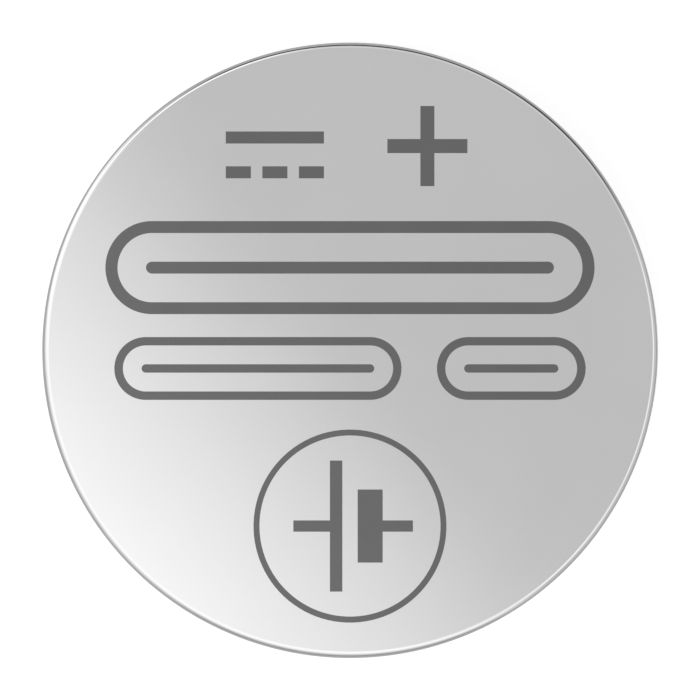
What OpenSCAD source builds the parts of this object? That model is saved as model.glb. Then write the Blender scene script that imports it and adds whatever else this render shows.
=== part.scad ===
/* [Cell] */
// Outside diameter of the finished cell
cell_d = 24.5; // [23:0.1:27]
// Overall height, from the negative contact face to the positive face
cell_h = 5; // [4.6:0.1:6.5]

/* [Positive can] */
// Thickness of the can's steel sheet
can_t = 0.25; // [0.2:0.01:0.3]
// Inside radius of the bend between the positive face and the side wall
can_bend_r = 0.05; // [0.02:0.01:0.3]
// Inside radius of the rolled-over crimp
crimp_bend_r = 0.9; // [0.75:0.05:1]
// How far the crimp is rolled, from the upright wall, in degrees
crimp_angle = 125; // [110:1:130]

/* [Negative cap] */
// Thickness of the cap's steel sheet
cap_t = 0.25; // [0.2:0.01:0.3]
// Inside radius of every bend in the cap
cap_bend_r = 0.15; // [0.1:0.01:0.2]
// Width of the shoulder that shows between the gasket and the raised contact
shoulder_show_w = 0.28; // [0.18:0.02:1]
// How far the contact face stands below the rolled crimp
contact_proud = 0.35; // [0.2:0.05:0.5]

/* [Sealing gasket] */
// Thickness of the gasket between the can wall and the cap's skirt
gasket_t = 0.5; // [0.4:0.05:0.6]
// Thickness of the gasket floor that the skirt's edge stands on
gasket_floor_t = 0.5; // [0.3:0.05:0.8]
// Thickness of the inner leg that holds the skirt's edge
gasket_leg_t = 0.3; // [0.2:0.05:0.4]
// Height of the inner leg above the gasket floor
gasket_leg_h = 0.85; // [0.5:0.05:1.2]
// Width of the gasket that shows beyond the crimp's edge
gasket_show_w = 0.4; // [0.2:0.05:0.45]

/* [Electrodes] */
// Space between the lithium disc and the bend around the contact
anode_gap = 0.5; // [0.1:0.05:1.5]
// Thickness of the lithium disc
anode_t = 1.2; // [1.15:0.05:1.5]
// Space between the separator and the cap's skirt
separator_gap = 0.45; // [0.3:0.05:1]
// Thickness of the separator
separator_t = 0.25; // [0.1:0.05:0.4]
// Space between the pressed cathode pellet and the gasket's leg
cathode_gap = 0.45; // [0.1:0.05:1]
// Radius of the pellet's pressed edges
cathode_edge_r = 0.2; // [0.05:0.05:0.4]
// How far the collector grid stays inside the pellet's edge
collector_in = 0.5; // [0.2:0.1:1.5]
// Thickness of the collector grid
collector_t = 0.1; // [0.05:0.01:0.2]
// Distance between neighbouring openings of the collector grid
grid_pitch = 2.2; // [1.8:0.1:3]
// Width of the bars between the openings of the collector grid
grid_bar = 0.6; // [0.4:0.05:0.8]

/* [Face marks] */
// Depth of the marks in the positive face
mark_depth = 0.04; // [0.02:0.01:0.08]
// Plain border between the marks and the rounded edge of the face
mark_border = 0.95; // [0.5:0.05:1.5]
// Length of each arm-to-arm stroke of the polarity sign
plus_span = 3.18; // [2:0.02:4]
// Width of the strokes of the polarity sign
plus_stroke = 0.56; // [0.3:0.02:0.8]
// Distance of the polarity sign to the right of the centre
plus_x = 3.07; // [2.4:0.01:4]
// Distance of the top row's centre line from the border
top_row_in = 2.9; // [2.2:0.1:3.5]
// Length of the direct-current sign's full line
dc_w = 3.9; // [2:0.1:5]
// Thickness of the sign's full line and of its dashes
dc_line = 0.48; // [0.3:0.02:0.8]
// Space between the sign's full line and the dashes below it
dc_gap = 0.9; // [0.4:0.05:1.5]
// Space between neighbouring dashes
dash_gap = 0.45; // [0.3:0.05:0.8]
// Distance of the sign's middle to the left of the centre
dc_x = 2.98; // [2.6:0.02:4]
// How far the sign's middle lies below the polarity sign's centre line
dc_drop = 0.35; // [0:0.05:0.6]
// Height of the long frame's centre line above the centre
long_frame_y = 3.28; // [3:0.02:4]
// Height of the long frame
long_frame_h = 3.7; // [2.4:0.1:4]
// Width of the long frame's line and of the bar inside it
long_frame_line = 0.48; // [0.3:0.02:0.7]
// Space between the long frame's ends and the border
long_frame_in = 0.8; // [0.4:0.05:2]
// Depth below the centre of the two small frames' centre line
pair_y = 0.72; // [0.5:0.02:1]
// Height of the two small frames
pair_h = 2.5; // [1.6:0.1:2.6]
// Width of the two small frames' lines and of the bars inside them
pair_line = 0.34; // [0.2:0.02:0.5]
// Length of the shorter of the two small frames
pair_right_w = 5.9; // [4:0.1:6.5]
// Space between the two small frames
pair_gap = 1.4; // [0.8:0.1:2]
// Space between the two small frames' outer ends and the border
pair_in = 1.63; // [0.8:0.01:2.5]
// Outside diameter of the ring
ring_d = 7.66; // [5:0.02:8]
// Width of the ring's line
ring_line = 0.24; // [0.15:0.01:0.5]
// Space between the ring and the border
ring_in = 0.2; // [0:0.05:0.5]
// Height of the long plate of the cell symbol in the ring
long_plate_h = 5.2; // [2:0.1:5.6]
// Height of the short plate of the cell symbol in the ring
short_plate_h = 2.9; // [1:0.1:3.4]
// Width of the long plate
long_plate_w = 0.5; // [0.2:0.02:0.7]
// Width of the short plate
short_plate_w = 1; // [0.3:0.02:1.2]
// Space between the two plates
plate_gap = 0.6; // [0.3:0.05:1]
// Length of the lead on each side of the cell symbol, from its plate's middle
lead_w = 1.7; // [0.8:0.05:2]
// Width of the leads' line
lead_line = 0.45; // [0.2:0.05:0.6]

/* [Hidden] */
$fn = 120;
cut = 0.1;

// Can: outer and inner walls, inner floor, and the middle of the crimp's roll
can_r = cell_d / 2;
bore_r = can_r - can_t;
floor_z = cell_h - can_t;
crimp_r = bore_r - crimp_bend_r;
crimp_z = contact_proud + crimp_bend_r + can_t;
face_bend_r = can_bend_r + can_t;

// Cap: the skirt stands inside the gasket, the shoulder lies under the crimp
cap_outer_bend_r = cap_bend_r + cap_t;
skirt_r = bore_r - gasket_t;
skirt_bend_r = skirt_r - cap_outer_bend_r;
shoulder_z = crimp_z - cap_outer_bend_r;
skirt_end_z = floor_z - gasket_floor_t;

// Gasket: where the crimp's edge bites, and how far the gasket shows beyond it
bite_r = crimp_r - crimp_bend_r * sin(crimp_angle - 90);
bite_z = crimp_z - crimp_bend_r * cos(crimp_angle - 90);
gasket_in_r = bite_r - gasket_show_w;
contact_r = gasket_in_r - shoulder_show_w;
leg_in_r = skirt_r - cap_t - gasket_leg_t;

// Stack, from the cap's inside face up
anode_r = contact_r - cap_outer_bend_r - anode_gap;
separator_r = skirt_r - cap_t - separator_gap;
cathode_r = leg_in_r - cathode_gap;
collector_r = cathode_r - collector_in;
anode_z = cap_t;
separator_z = anode_z + anode_t;
cathode_z = separator_z + separator_t;
collector_z = floor_z - collector_t;

// Marks: the border circle, the rows and the ring
mark_r = can_r - face_bend_r - mark_border;
top_row_y = mark_r - top_row_in;
long_frame_w = 2 * (sqrt(pow(mark_r, 2) - pow(long_frame_y, 2)) - long_frame_in);
pair_w = 2 * (sqrt(pow(mark_r, 2) - pow(pair_y, 2)) - pair_in);
pair_left_w = pair_w - pair_gap - pair_right_w;
ring_y = ring_in + ring_d / 2 - mark_r;

// The sector between two angles of a circle of radius r, wide enough to cut a ring to an arc
module sector(r, start, end) {
    steps = ceil((end - start) / 60);
    polygon(concat([[0, 0]], [for (i = [0 : steps])
        let (a = start + (end - start) * i / steps) 2 * r * [cos(a), sin(a)]]));
}

// A bend of a sheet: the arc between two radii about a centre, from one angle to another
module bend(centre, r_in, r_out, start, end) {
    translate(centre) intersection() {
        difference() {
            circle(r_out);
            if (r_in > 0) circle(r_in);
        }
        sector(r_out, start, end);
    }
}

// A straight stretch: a rectangle between two corners
module strip(low, high) {
    translate(low) square(high - low);
}

// A bar with round ends, about a centre
module round_bar(centre, w, h) {
    translate(centre) {
        square([w - h, h], center = true);
        for (side = [-1, 1]) translate([side * (w - h) / 2, 0]) circle(h / 2);
    }
}

// A frame with round ends and a thin bar along its middle, both of one line width
module framed_bar(centre, w, h, line) {
    difference() {
        round_bar(centre, w, h);
        round_bar(centre, w - 2 * line, h - 2 * line);
    }
    round_bar(centre, w - h + line, line);
}

// A plain rectangle about a centre
module plate(centre, w, h) {
    translate(centre) square([w, h], center = true);
}

// The sign of the positive pole
module plus_sign() {
    plate([plus_x, top_row_y], plus_span, plus_stroke);
    plate([plus_x, top_row_y], plus_stroke, plus_span);
}

// The sign of direct current: a full line above three dashes
module direct_current_sign() {
    rise = (dc_gap + dc_line) / 2;
    dash_w = (dc_w - 2 * dash_gap) / 3;
    translate([-dc_x, top_row_y - dc_drop]) {
        plate([0, rise], dc_w, dc_line);
        for (i = [-1 : 1]) plate([i * (dash_w + dash_gap), -rise], dash_w, dc_line);
    }
}

// Plain frames in two rows: one long, and below it two that share its width
module frames() {
    framed_bar([0, long_frame_y], long_frame_w, long_frame_h, long_frame_line);
    framed_bar([(pair_left_w - pair_w) / 2, -pair_y], pair_left_w, pair_h, pair_line);
    framed_bar([(pair_w - pair_right_w) / 2, -pair_y], pair_right_w, pair_h, pair_line);
}

// A ring around the circuit symbol of a cell: a long thin plate, a short thick one and their leads
module ring_symbol() {
    translate([0, ring_y]) {
        difference() {
            circle(ring_d / 2);
            circle(ring_d / 2 - ring_line);
        }
        long_x = -(plate_gap + long_plate_w) / 2;
        short_x = (plate_gap + short_plate_w) / 2;
        plate([long_x, 0], long_plate_w, long_plate_h);
        plate([short_x, 0], short_plate_w, short_plate_h);
        plate([long_x - lead_w / 2, 0], lead_w, lead_line);
        plate([short_x + lead_w / 2, 0], lead_w, lead_line);
    }
}

// Drawn steel can, face up: face plate, side wall and the edge rolled in over the gasket
module can_profile() {
    strip([0, floor_z], [can_r - face_bend_r, cell_h]);
    bend([can_r - face_bend_r, cell_h - face_bend_r], can_bend_r, face_bend_r, 0, 90);
    strip([bore_r, crimp_z], [can_r, cell_h - face_bend_r]);
    bend([crimp_r, crimp_z], crimp_bend_r, crimp_bend_r + can_t, -crimp_angle, 0);
}

module positive_can() {
    color("silver") difference() {
        rotate_extrude() can_profile();
        translate([0, 0, cell_h - mark_depth]) linear_extrude(mark_depth + cut) {
            plus_sign();
            direct_current_sign();
            frames();
            ring_symbol();
        }
    }
}

// Pressed steel cap: contact plate, riser, shoulder and skirt, with one radius at each bend
module cap_profile() {
    foot_r = contact_r + cap_bend_r;
    strip([0, 0], [contact_r - cap_outer_bend_r, cap_t]);
    bend([contact_r - cap_outer_bend_r, cap_outer_bend_r], cap_bend_r, cap_outer_bend_r, -90, 0);
    strip([contact_r - cap_t, cap_outer_bend_r], [contact_r, shoulder_z - cap_bend_r]);
    bend([foot_r, shoulder_z - cap_bend_r], cap_bend_r, cap_outer_bend_r, 90, 180);
    strip([foot_r, shoulder_z], [skirt_bend_r, shoulder_z + cap_t]);
    bend([skirt_bend_r, crimp_z], cap_bend_r, cap_outer_bend_r, -90, 0);
    strip([skirt_r - cap_t, crimp_z], [skirt_r, skirt_end_z]);
}

module negative_cap() {
    color("gainsboro") rotate_extrude() cap_profile();
}

// Moulded ring with a J section: a leg inside the skirt, a floor under its edge, a wall outside it
// and a lip turned in over the shoulder, which the crimp squeezes
module gasket_profile() {
    difference() {
        strip([leg_in_r, skirt_end_z], [bore_r, floor_z]);
        strip([bore_r - can_bend_r, floor_z - can_bend_r], [bore_r + cut, floor_z + cut]);
    }
    bend([bore_r - can_bend_r, floor_z - can_bend_r], 0, can_bend_r, 0, 90);
    strip([leg_in_r, skirt_end_z - gasket_leg_h], [skirt_r - cap_t, skirt_end_z]);
    strip([skirt_r, crimp_z], [bore_r, skirt_end_z]);
    gasket_lip();
}

module gasket_lip() {
    difference() {
        intersection() {
            translate([crimp_r, crimp_z]) circle(crimp_bend_r);
            strip([bite_r, 0], [bore_r, crimp_z]);
        }
        strip([0, shoulder_z], [skirt_bend_r, crimp_z + cut]);
        translate([skirt_bend_r, crimp_z]) circle(cap_outer_bend_r);
    }
    strip([gasket_in_r, bite_z], [bite_r, shoulder_z]);
}

module sealing_gasket() {
    color("dimgray") rotate_extrude() gasket_profile();
}

// Punched lithium disc, pressed on the inside of the cap
module lithium_anode() {
    color("lightsteelblue") translate([0, 0, anode_z]) cylinder(r = anode_r, h = anode_t);
}

module separator() {
    color("white") translate([0, 0, separator_z]) cylinder(r = separator_r, h = separator_t);
}

// Pressed pellet with both edges rounded by the die
module cathode_pellet() {
    flat_r = cathode_r - cathode_edge_r;
    low_z = cathode_z + cathode_edge_r;
    high_z = collector_z - cathode_edge_r;
    color("black") rotate_extrude() {
        strip([0, cathode_z], [flat_r, collector_z]);
        strip([flat_r, low_z], [cathode_r, high_z]);
        bend([flat_r, high_z], 0, cathode_edge_r, 0, 90);
        bend([flat_r, low_z], 0, cathode_edge_r, -90, 0);
    }
}

// Thin grid between the pellet and the face plate, with hexagonal openings in rows
module cathode_collector() {
    open_r = (grid_pitch - grid_bar) / sqrt(3);
    row_h = grid_pitch * sqrt(3) / 2;
    rows = ceil(collector_r / row_h);
    reach = collector_r - grid_bar - open_r;
    color("lightgray") translate([0, 0, collector_z]) linear_extrude(collector_t) difference() {
        circle(collector_r);
        for (i = [-rows : rows], j = [-2 * rows : 2 * rows]) {
            p = [(j + abs(i % 2) / 2) * grid_pitch, i * row_h];
            if (norm(p) <= reach) translate(p) rotate(30) circle(open_r, $fn = 6);
        }
    }
}

positive_can();
negative_cap();
sealing_gasket();
lithium_anode();
separator();
cathode_pellet();
cathode_collector();
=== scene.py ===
"""A lithium coin cell, dressed and lit as it lies in the photograph: flat, seen from straight above.

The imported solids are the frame. The four pieces of the stack keep their own meshes and get their finishes
here. The can, the cap and the gasket are turned again in finer steps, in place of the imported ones, and the
marks in the positive face get a dark filling. Sizes in the classes are millimetres. Meshes, lamps and the
camera are in metres.
"""

import logging
import math
from dataclasses import dataclass, field
from enum import Enum
from functools import reduce

import bmesh
import bpy
from bmesh.types import BMEdge, BMesh, BMVert
from bpy.types import ID, Material, Node, NodeSocket, NodeTree, Object, World
from mathutils import Matrix, Vector


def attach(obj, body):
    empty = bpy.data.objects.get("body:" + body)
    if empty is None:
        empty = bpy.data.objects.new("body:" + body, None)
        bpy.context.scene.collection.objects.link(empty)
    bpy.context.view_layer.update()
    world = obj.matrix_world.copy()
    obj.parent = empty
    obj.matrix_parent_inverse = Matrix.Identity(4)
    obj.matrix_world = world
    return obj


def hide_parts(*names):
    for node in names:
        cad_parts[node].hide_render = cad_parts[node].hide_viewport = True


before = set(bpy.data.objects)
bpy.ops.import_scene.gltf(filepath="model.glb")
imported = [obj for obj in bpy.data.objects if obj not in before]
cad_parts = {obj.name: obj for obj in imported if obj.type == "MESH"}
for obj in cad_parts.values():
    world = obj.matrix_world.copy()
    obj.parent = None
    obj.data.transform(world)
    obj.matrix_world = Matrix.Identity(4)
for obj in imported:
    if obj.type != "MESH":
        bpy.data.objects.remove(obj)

MM = 0.001
BODY = "root"

# SEGMENTS are the steps of a full turn, and points nearer than MERGE millimetres are one. A face is flat
# where its normal's upright part is over FLAT, and an edge is a corner from SHARP degrees.
SEGMENTS = 240
MERGE = 1e-5
FLAT = 0.9999
SHARP = 30.0
QUARTER = 90.0

WHITE = (1.0, 1.0, 1.0)
Colour = tuple[float, float, float]
Shades = tuple[float, float]
Value = float | int | tuple | NodeSocket

# A grid from -1 to 1 that is three faces wide has its outer points past GRID_EDGE, and its faces off the
# middle lie past GRID_MIDDLE.
GRID_EDGE = 0.9
GRID_MIDDLE = 0.5

log = logging.getLogger("coin_cell")


class Graph:
    """Adds nodes to one shader tree and joins them."""

    def __init__(self, tree: NodeTree) -> None:
        """Keeps the tree that the nodes go into."""
        self.tree = tree

    def node(self, kind: str, inputs: dict[str | int, Value] | None = None, **settings: object) -> Node:
        """Adds one node.

        Args:
            kind: the node's type, without ShaderNode in front.
            inputs: each input's name or number, with its value or the output that feeds it.
            settings: the node's own settings.

        Returns:
            The new node.
        """
        new = self.tree.nodes.new("ShaderNode" + kind)
        for name, value in settings.items():
            setattr(new, name, value)
        for name, value in (inputs or {}).items():
            self.feed(new, name, value)
        return new

    def feed(self, target: Node, name: str | int, value: Value) -> None:
        """Sets one of a node's inputs.

        Args:
            target: the node.
            name: the input's name or number.
            value: its constant, or the output that feeds it.
        """
        if isinstance(value, NodeSocket):
            self.tree.links.new(value, target.inputs[name])
        else:
            target.inputs[name].default_value = value

    def math(self, operation: str, *values: Value) -> NodeSocket:
        """Joins one, two or three values by a Math operation.

        Args:
            operation: the operation's name, such as MAXIMUM.
            values: numbers or outputs.

        Returns:
            The result's output.
        """
        return self.node("Math", dict(enumerate(values)), operation=operation).outputs[0]

    def times(self, *values: Value) -> Value:
        """Multiplies values."""
        return reduce(lambda product, value: self.math("MULTIPLY", product, value), values)

    def over(self, value: Value, divisor: Value) -> NodeSocket:
        """Divides a value by another."""
        return self.math("DIVIDE", value, divisor)

    def scaled(self, value: Value, scale: Value, base: Value) -> NodeSocket:
        """Multiplies a value by a scale and adds a base."""
        return self.math("MULTIPLY_ADD", value, scale, base)

    def rest(self, value: Value) -> NodeSocket:
        """What is left of 1 when a value is taken from it."""
        return self.math("SUBTRACT", 1.0, value)

    def distance(self, along: Value, across: Value) -> NodeSocket:
        """The length of a step that goes one value along and the other across."""
        squares = self.math("ADD", self.times(along, along), self.times(across, across))
        return self.math("POWER", squares, 0.5)

    def ramp(self, value: Value, low: Value, high: Value, start: Value = 0.0, end: Value = 1.0) -> NodeSocket:
        """Turns value smoothly from start to end as it goes from low to high.

        Args:
            value: the value that is read.
            low: where the result leaves start.
            high: where the result reaches end.
            start: the result at and below low.
            end: the result at and above high.

        Returns:
            The result's output.
        """
        inputs = {"Value": value, "From Min": low, "From Max": high, "To Min": start, "To Max": end}
        return self.node("MapRange", inputs, interpolation_type="SMOOTHSTEP").outputs["Result"]

    def mix(self, factor: Value, low: Value, high: Value) -> NodeSocket:
        """Mixes two colours.

        Args:
            factor: 0 gives low and 1 gives high.
            low: the first colour, or its output.
            high: the second colour, or its output.

        Returns:
            The mixed colour's output.
        """
        inputs = {0: factor, 6: rgba(low), 7: rgba(high)}
        return self.node("Mix", inputs, data_type="RGBA").outputs[2]

    def noise(self, vector: Value, detail: float, roughness: float, scale: Value = 1.0) -> NodeSocket:
        """Adds a noise pattern.

        Args:
            vector: the place that it is read at.
            detail: number of finer layers.
            roughness: strength of the finer layers.
            scale: waves for each unit of length.

        Returns:
            The pattern's output, about 0.2 to 0.8.
        """
        inputs = {"Vector": vector, "Scale": scale, "Detail": detail, "Roughness": roughness}
        return self.node("TexNoise", inputs).outputs[0]

    def split(self, vector: NodeSocket) -> tuple[NodeSocket, ...]:
        """Gives a vector's three parts."""
        return tuple(self.node("SeparateXYZ", {0: vector}).outputs)

    def join(self, x: Value, y: Value, z: Value) -> NodeSocket:
        """Makes a vector of three parts."""
        return self.node("CombineXYZ", {0: x, 1: y, 2: z}).outputs[0]


def rgba(colour: Value) -> Value:
    """Adds the alpha that a colour socket wants to a plain colour."""
    return (*colour, 1.0) if isinstance(colour, tuple) and len(colour) == 3 else colour


class Effect(Enum):
    """The patterns that the finishes are drawn with, each a shader node group."""

    SHEET_GRAIN = "sheet_grain"
    TURNED_LINES = "turned_lines"
    PITS = "pits"
    SCRATCHES = "scratches"
    DRAW_MARKS = "draw_marks"
    RING_WEAR = "ring_wear"
    HAZE = "haze"


@dataclass
class Effects:
    """Builds each pattern's node group once and places it in a material.

    Attributes:
        made: the groups that are built.
        noise_ends: the noise that a mask takes for 0 and for 1.
        pit_ends: the depth that the pits' mask takes for 0 and for 1.
        pit_finer: how many times finer than the pits their grains are.
        hair_sets: for each set of scratches, its turn in radians and a shift that keeps the sets apart.
        hair_edge: how softly a scratch ends, in noise.
        hair_area: waves of the areas that hold scratches, for each millimetre.
        hair_ends: the noise where such an area starts and is full.
        wear_area: waves of the rubbed patches, for each millimetre.
        wear_ends: the noise where a rubbed patch starts and is full.
    """

    made: dict[Effect, NodeTree] = field(default_factory=dict)
    noise_ends: tuple[float, float] = (0.25, 0.75)
    pit_ends: tuple[float, float] = (0.1, 0.75)
    pit_finer: float = 2.3
    hair_sets: tuple[tuple[float, float], ...] = ((0.5, 0.0), (-0.95, 40.0))
    hair_edge: float = 0.05
    hair_area: float = 0.22
    hair_ends: tuple[float, float] = (0.42, 0.62)
    wear_area: float = 0.9
    wear_ends: tuple[float, float] = (0.4, 0.65)

    def place(self, graph: Graph, effect: Effect, position: NodeSocket, **values: float) -> NodeSocket:
        """Places a pattern in a material.

        Args:
            graph: the material's nodes.
            effect: which pattern.
            position: the place on the piece, in millimetres.
            values: the pattern's own inputs.

        Returns:
            The pattern's mask, from 0 to 1.
        """
        if effect not in self.made:
            self.made[effect] = getattr(self, "make_" + effect.value)()
        inputs = {name.capitalize(): value for name, value in values.items()}
        group = graph.node("Group", node_tree=self.made[effect])
        for name, value in {"Position": position, **inputs}.items():
            graph.feed(group, name, value)
        return group.outputs["Mask"]

    def start(self, effect: Effect, **defaults: float) -> tuple[Graph, Node, Node]:
        """Starts a group with a position, its own numbers and a mask.

        Args:
            effect: which pattern.
            defaults: each number's name and default.

        Returns:
            The group's graph, its inputs and its output node.
        """
        tree = bpy.data.node_groups.new(effect.value, "ShaderNodeTree")
        sockets = tree.interface
        sockets.new_socket("Position", in_out="INPUT", socket_type="NodeSocketVector")
        for name, value in defaults.items():
            number = sockets.new_socket(name.capitalize(), in_out="INPUT", socket_type="NodeSocketFloat")
            number.default_value = value
        sockets.new_socket("Mask", in_out="OUTPUT", socket_type="NodeSocketFloat")
        return Graph(tree), tree.nodes.new("NodeGroupInput"), tree.nodes.new("NodeGroupOutput")

    def make_sheet_grain(self) -> NodeTree:
        """Fine parallel streaks that the rolling mill leaves along X."""
        graph, given, result = self.start(Effect.SHEET_GRAIN, length=4.0, pitch=0.06)
        x, y, z = graph.split(given.outputs["Position"])
        along = graph.over(x, given.outputs["Length"])
        across = graph.over(y, given.outputs["Pitch"])
        streaks = graph.noise(graph.join(along, across, z), detail=3.0, roughness=0.65)
        graph.feed(result, "Mask", graph.ramp(streaks, *self.noise_ends))
        return graph.tree

    def make_turned_lines(self) -> NodeTree:
        """Fine rings that the drawing die and the rolling head leave round the axis."""
        graph, given, result = self.start(Effect.TURNED_LINES, pitch=0.05, waver=0.15)
        x, y, z = graph.split(given.outputs["Position"])
        path = graph.over(graph.math("ADD", graph.distance(x, y), z), given.outputs["Pitch"])
        slow_x = graph.times(x, given.outputs["Waver"])
        slow_y = graph.times(y, given.outputs["Waver"])
        lines = graph.noise(graph.join(slow_x, slow_y, path), detail=3.0, roughness=0.6)
        graph.feed(result, "Mask", graph.ramp(lines, *self.noise_ends))
        return graph.tree

    def make_draw_marks(self) -> NodeTree:
        """Fine upright streaks that the die leaves as the wall is drawn through it."""
        graph, given, result = self.start(Effect.DRAW_MARKS, length=5.0, pitch=0.12)
        x, y, z = graph.split(given.outputs["Position"])
        along = graph.over(z, given.outputs["Length"])
        across_x = graph.over(x, given.outputs["Pitch"])
        across_y = graph.over(y, given.outputs["Pitch"])
        streaks = graph.noise(graph.join(across_x, across_y, along), detail=3.0, roughness=0.6)
        graph.feed(result, "Mask", graph.ramp(streaks, *self.noise_ends))
        return graph.tree

    def make_pits(self) -> NodeTree:
        """Close shallow dimples of a blasted or pressed powder surface."""
        graph, given, result = self.start(Effect.PITS, size=0.09, soft=0.5)
        position, soft = given.outputs["Position"], given.outputs["Soft"]
        scale = graph.over(1.0, given.outputs["Size"])
        cells = graph.node("TexVoronoi", {"Vector": position, "Scale": scale}, feature="SMOOTH_F1")
        grains = graph.noise(position, detail=3.0, roughness=0.6, scale=graph.times(scale, self.pit_finer))
        deep = graph.times(cells.outputs["Distance"], soft)
        whole = graph.scaled(grains, graph.rest(soft), deep)
        graph.feed(result, "Mask", graph.ramp(whole, *self.pit_ends))
        return graph.tree

    def make_scratches(self) -> NodeTree:
        """Sparse hair-thin scratches in two directions."""
        graph, given, result = self.start(Effect.SCRATCHES, length=5.0, pitch=0.05, share=0.7)
        position, share = given.outputs["Position"], given.outputs["Share"]
        found = []
        for turn, shift in self.hair_sets:
            turned = graph.node("VectorRotate", {"Vector": position, "Angle": turn}, rotation_type="Z_AXIS")
            x, y, z = graph.split(turned.outputs[0])
            along = graph.over(graph.math("ADD", x, shift), given.outputs["Length"])
            across = graph.over(y, given.outputs["Pitch"])
            hairs = graph.noise(graph.join(along, across, z), detail=1.0, roughness=0.4)
            found.append(graph.ramp(hairs, share, graph.math("ADD", share, self.hair_edge)))
        areas = graph.noise(position, detail=2.0, roughness=0.5, scale=self.hair_area)
        places = graph.ramp(areas, *self.hair_ends)
        graph.feed(result, "Mask", graph.times(graph.math("MAXIMUM", *found), places))
        return graph.tree

    def make_ring_wear(self) -> NodeTree:
        """Patchy rubbing along a ring about the axis, such as an edge."""
        graph, given, result = self.start(Effect.RING_WEAR, radius=12.2, height=4.9, width=0.15)
        x, y, z = graph.split(given.outputs["Position"])
        out = graph.math("SUBTRACT", graph.distance(x, y), given.outputs["Radius"])
        up = graph.math("SUBTRACT", z, given.outputs["Height"])
        near = graph.ramp(graph.distance(out, up), 0.0, given.outputs["Width"], start=1.0, end=0.0)
        cloud = graph.noise(given.outputs["Position"], detail=4.0, roughness=0.7, scale=self.wear_area)
        graph.feed(result, "Mask", graph.times(near, graph.ramp(cloud, *self.wear_ends)))
        return graph.tree

    def make_haze(self) -> NodeTree:
        """Broad soft patches, as handling and plating leave."""
        graph, given, result = self.start(Effect.HAZE, size=6.0)
        scale = graph.over(1.0, given.outputs["Size"])
        cloud = graph.noise(given.outputs["Position"], detail=4.0, roughness=0.55, scale=scale)
        graph.feed(result, "Mask", graph.ramp(cloud, *self.noise_ends))
        return graph.tree


EFFECTS = Effects()


@dataclass(frozen=True)
class Coat:
    """What a finish draws on a piece.

    Attributes:
        colour: its colour.
        roughness: its roughness.
        relief: its relief, from 0 to 1.
        depth: how deep the relief is, in millimetres.
    """

    colour: NodeSocket
    roughness: Value
    relief: NodeSocket
    depth: float


@dataclass(frozen=True)
class Finish:
    """What every finish has: a name, a colour and how it scatters light.

    Attributes:
        name: the material's name.
        colour: its plain colour.
        roughness: its plain roughness.
        metallic: 1 for a metal and 0 for the rest.
        specular: how strongly a finish that is no metal mirrors, where 0.5 is common.
    """

    name: str
    colour: Colour
    roughness: float
    metallic: float = 1.0
    specular: float = 0.5

    def build(self) -> Material:
        """Makes the material: the shader's constants, and then what the finish draws."""
        material = bpy.data.materials.new(self.name)
        material.use_nodes = True
        graph = Graph(material.node_tree)
        shader = graph.tree.nodes["Principled BSDF"]
        plain = {"Metallic": self.metallic, "Roughness": self.roughness,
                 "Specular IOR Level": self.specular, "Base Color": rgba(self.colour)}
        place = graph.node("TexCoord").outputs["Object"]
        position = graph.node("VectorMath", {0: place, "Scale": 1 / MM}, operation="SCALE").outputs[0]
        coat = self.draw(graph, position)
        bump = graph.node("Bump", {"Height": coat.relief, "Distance": coat.depth * MM, "Strength": 1.0})
        drawn = {"Base Color": coat.colour, "Roughness": coat.roughness, "Normal": bump.outputs[0]}
        for name, value in (*plain.items(), *drawn.items()):
            graph.feed(shader, name, value)
        return material

    def draw(self, graph: Graph, position: NodeSocket) -> Coat:
        """Draws the finish's own patterns; each kind of finish has its own."""
        raise NotImplementedError

    def shade(self, factor: float) -> Colour:
        """The finish's colour, lighter or darker by a factor."""
        return tuple(channel * factor for channel in self.colour)

    def varied(self, graph: Graph, mask: NodeSocket, shades: Shades) -> NodeSocket:
        """Colours a mask's low parts in one shade and its high parts in another.

        Args:
            graph: the material's nodes.
            mask: the mask.
            shades: the shade where it is 0 and the shade where it is 1.

        Returns:
            The colour's output.
        """
        return graph.mix(mask, *(self.shade(factor) for factor in shades))

    def laid(self, graph: Graph, base: Value, factor: float, *masks: Value) -> NodeSocket:
        """Lays one of the finish's shades over a colour.

        Args:
            graph: the material's nodes.
            base: the colour below.
            factor: the shade.
            masks: masks and shares, which multiply to how strongly it shows.

        Returns:
            The colour's output.
        """
        return graph.mix(graph.times(*masks), base, self.shade(factor))

    def uneven(self, graph: Graph, mask: NodeSocket, spread: float) -> NodeSocket:
        """Varies the roughness about the finish's own.

        Args:
            graph: the material's nodes.
            mask: where it is high.
            spread: the difference between its lowest and its highest.

        Returns:
            The roughness's output.
        """
        return graph.scaled(mask, spread, self.roughness - spread / 2)


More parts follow.
